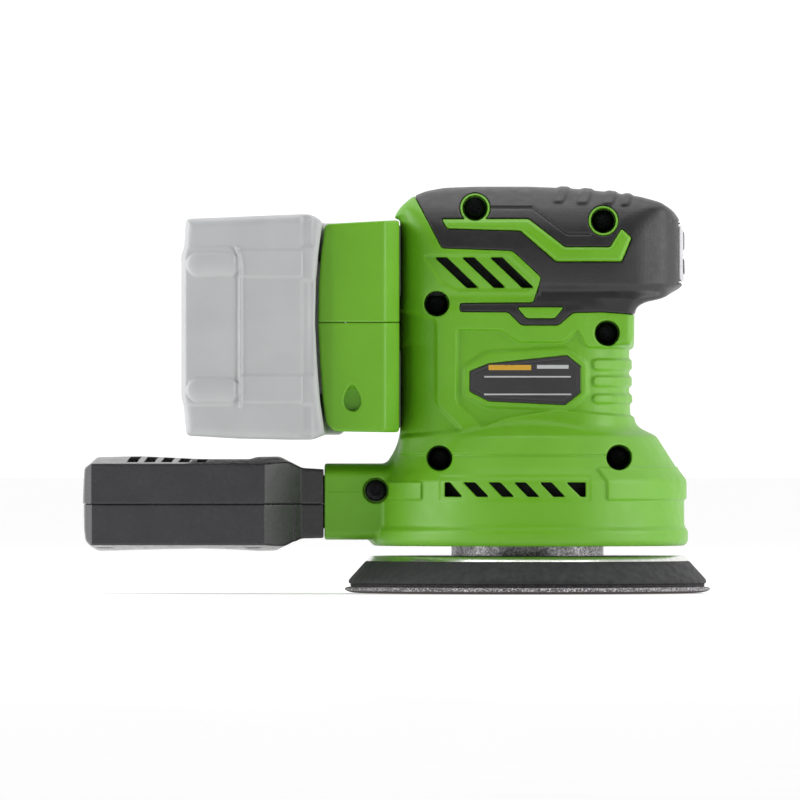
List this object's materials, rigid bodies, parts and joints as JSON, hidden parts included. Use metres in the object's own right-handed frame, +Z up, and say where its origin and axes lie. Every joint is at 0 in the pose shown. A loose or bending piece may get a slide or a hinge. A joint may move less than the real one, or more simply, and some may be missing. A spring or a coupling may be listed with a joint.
{
  "type": "orbital sander",
  "caption": "Cordless palm-grip random-orbit sander with a round pad, slide-on battery pack and pull-off dust box.",
  "frame": {"origin": "motor axis at the working face of the abrasive disc", "axes": "+X towards the nose of the grip, +Z up out of the work, +Y to the left side of the tool"},
  "size_m": [0.2146, 0.1268, 0.139],
  "materials": {
    "housing_green": "satin injection-moulded plastic, mid green",
    "grip_rubber": "soft overmoulded rubber, fine grain, near black",
    "dark_plastic": "moulded dark grey plastic",
    "pale_plastic": "pale grey moulded plastic",
    "nose_plastic": "glossy pale panel",
    "plate": "dark printed-look plate without lettering",
    "seal_rubber": "black rubber",
    "steel": "ground steel",
    "dark_steel": "black-oxide steel",
    "cast_aluminium": "rough cast, speckled",
    "copper": "enamelled copper winding",
    "board": "circuit board with solder mask",
    "cell": "shrink-wrapped cell",
    "foam": "closed-cell foam",
    "pad_plate": "bright plated steel backing plate",
    "abrasive": "abrasive grit on velour-backed paper",
    "filter": "pleated filter paper"
  },
  "bodies": {
    "housing": {"housing_right": "housing_green", "housing_left": "housing_green", "grip_right": "grip_rubber", "grip_left": "grip_rubber", "nose_panel": "nose_plastic", "switch_board": "board", "controller_board": "board", "motor_stator": "dark_steel", "stator_coil_1": "copper", "stator_coil_2": "copper", "stator_coil_3": "copper", "stator_coil_4": "copper", "stator_coil_5": "copper", "stator_coil_6": "copper", "sensor_board": "board", "upper_bearing": "steel", "lower_bearing": "steel", "bearing_bracket": "cast_aluminium", "fan_chamber_floor": "dark_plastic", "brake_ring": "seal_rubber", "collar_upper": "housing_green", "collar_lower": "housing_green", "collar_gasket": "seal_rubber", "collar_screw": "dark_steel", "terminal_block": "dark_plastic", "rating_plate": "plate", "housing_screw_1": "dark_steel", "housing_screw_2": "dark_steel", "housing_screw_3": "dark_steel", "housing_screw_4": "dark_steel", "housing_screw_5": "dark_steel", "housing_screw_6": "dark_steel", "housing_screw_7": "dark_steel"},
    "rotor": {"motor_shaft": "steel", "rotor_core": "dark_steel", "fan": "dark_plastic", "counterweight": "steel", "eccentric_bearing": "steel"},
    "pad": {"pad_spindle": "steel", "pad_hub": "cast_aluminium", "pad_plate": "pad_plate", "pad_foam": "foam", "hook_layer": "seal_rubber", "abrasive_disc": "abrasive", "pad_screw": "dark_steel"},
    "battery": {"battery_outer_case": "pale_plastic", "battery_inner_case": "pale_plastic", "battery_board": "board", "battery_cell_1": "cell", "battery_cell_2": "cell", "battery_cell_3": "cell", "battery_cell_4": "cell", "battery_cell_5": "cell"},
    "latch": {"battery_latch": "dark_plastic"},
    "power_key": {"power_button": "dark_plastic"},
    "speed_key": {"speed_button": "dark_plastic"},
    "dust_box": {"dust_box_upper": "dark_plastic", "dust_box_lower": "dark_plastic", "dust_box_seal": "seal_rubber", "dust_filter": "filter"}
  },
  "joints": [
    {"name": "rotor_spin", "type": "hinge", "parent": "housing", "child": "rotor", "pos_m": [0, 0, 0.06], "axis": [0, 0, 1], "continuous": true},
    {"name": "pad_spin", "type": "hinge", "parent": "rotor", "child": "pad", "pos_m": [-0.0005, 0.00115, 0.025], "axis": [0, 0, 1], "continuous": true},
    {"name": "battery_slide", "type": "slide", "parent": "housing", "child": "battery", "axis": [0, 1, 0], "range_m": [0, 0.12]},
    {"name": "latch_press", "type": "slide", "parent": "battery", "child": "latch", "axis": [0, -1, 0], "range_m": [0, 0.0025], "stiffness_N_per_m": 600, "springref_m": -0.003},
    {"name": "power_press", "type": "slide", "parent": "housing", "child": "power_key", "axis": [-1, 0, 0], "range_m": [0, 0.0008], "stiffness_N_per_m": 900, "springref_m": -0.0012},
    {"name": "speed_press", "type": "slide", "parent": "housing", "child": "speed_key", "axis": [-1, 0, 0], "range_m": [0, 0.0008], "stiffness_N_per_m": 900, "springref_m": -0.0012},
    {"name": "dust_box_pull", "type": "slide", "parent": "housing", "child": "dust_box", "axis": [-1, 0, 0], "range_m": [0, 0.04]}
  ]
}
